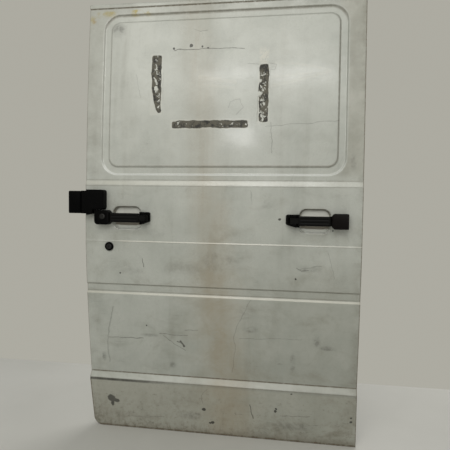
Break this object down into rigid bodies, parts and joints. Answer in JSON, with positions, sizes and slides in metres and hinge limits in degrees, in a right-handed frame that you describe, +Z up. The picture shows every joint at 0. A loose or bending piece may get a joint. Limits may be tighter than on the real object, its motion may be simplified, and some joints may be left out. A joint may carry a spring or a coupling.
{
  "type": "van sliding door",
  "caption": "Panel van side sliding door with pressed window blank, pull handles, round lock, rear roller carriage and open inner panel.",
  "frame": {"origin": "middle of the flat seat under the lower roller arm", "axes": "+X towards the nose of the van, +Y into the van, +Z up along the door"},
  "size_m": [1.105, 0.29, 1.675],
  "materials": {
    "body_paint": "aged white paint, satin, stained and scuffed",
    "inner_paint": "thin satin paint over pressed steel",
    "seal_rubber": "matt",
    "plated_steel": "dull zinc plate",
    "arm_steel": "black coated steel, worn",
    "roller_nylon": "greased nylon",
    "black_plastic": "fine grained black moulding, weathered",
    "inside_plastic": "grained dark grey moulding",
    "key_metal": "dulled, dirty"
  },
  "bodies": {
    "door": {"outer_skin": "body_paint", "front_scoop": "body_paint", "rear_scoop": "body_paint", "inner_panel": "inner_paint", "blank_stiffener_front": "inner_paint", "blank_stiffener_rear": "inner_paint", "lower_stiffener": "inner_paint", "arm_pocket": "inner_paint", "door_seal": "seal_rubber", "front_locator_upper": "seal_rubber", "front_locator_lower": "seal_rubber", "rear_locator_upper": "seal_rubber", "rear_locator_lower": "seal_rubber", "front_lock": "plated_steel", "front_lock_claw": "plated_steel", "rear_latch": "plated_steel", "rear_latch_claw": "plated_steel", "link_rod": "plated_steel", "arm_hinge_pin": "plated_steel", "lower_arm": "arm_steel", "upper_arm": "arm_steel", "lower_load_roller": "roller_nylon", "lower_guide_roller": "roller_nylon", "upper_roller": "roller_nylon", "hinge_cover": "black_plastic", "front_handle_block": "black_plastic", "front_handle_hinge_block": "black_plastic", "rear_handle_block": "black_plastic", "rear_handle_hinge_block": "black_plastic", "lock_rosette": "black_plastic", "inside_handle_dish": "inside_plastic", "inside_handle_lever": "inside_plastic"},
    "carriage": {"carriage_arm": "arm_steel", "carriage_load_roller": "roller_nylon", "carriage_guide_roller_front": "roller_nylon", "carriage_guide_roller_rear": "roller_nylon", "carriage_cover": "black_plastic"},
    "front_grip": {"front_handle_grip": "black_plastic"},
    "rear_grip": {"rear_handle_grip": "black_plastic"},
    "rear_key": {"rear_key_barrel": "key_metal"},
    "lock_core": {"lock_barrel": "key_metal"}
  },
  "joints": [
    {"name": "carriage_swing", "type": "hinge", "parent": "door", "child": "carriage", "pos_m": [-0.93, -0.143, 0.809], "axis": [0, 0, -1], "range_deg": [0, 40]},
    {"name": "front_handle_pull", "type": "hinge", "parent": "door", "child": "front_grip", "pos_m": [-0.156, -0.186, 0.752], "axis": [0, 0, -1], "range_deg": [0, 15], "stiffness_Nm_per_rad": 3, "springref_deg": -8.59},
    {"name": "rear_handle_pull", "type": "hinge", "parent": "door", "child": "rear_grip", "pos_m": [-0.704, -0.186, 0.752], "axis": [0, 0, 1], "range_deg": [0, 15], "stiffness_Nm_per_rad": 3, "springref_deg": -8.59},
    {"name": "rear_key_turn", "type": "hinge", "parent": "door", "child": "rear_key", "pos_m": [-0.872, -0.177, 0.756], "axis": [0, 1, 0], "range_deg": [0, 90]},
    {"name": "lock_barrel_turn", "type": "hinge", "parent": "door", "child": "lock_core", "pos_m": [-0.857, -0.161, 0.639], "axis": [0, 1, 0], "range_deg": [0, 90]}
  ]
}
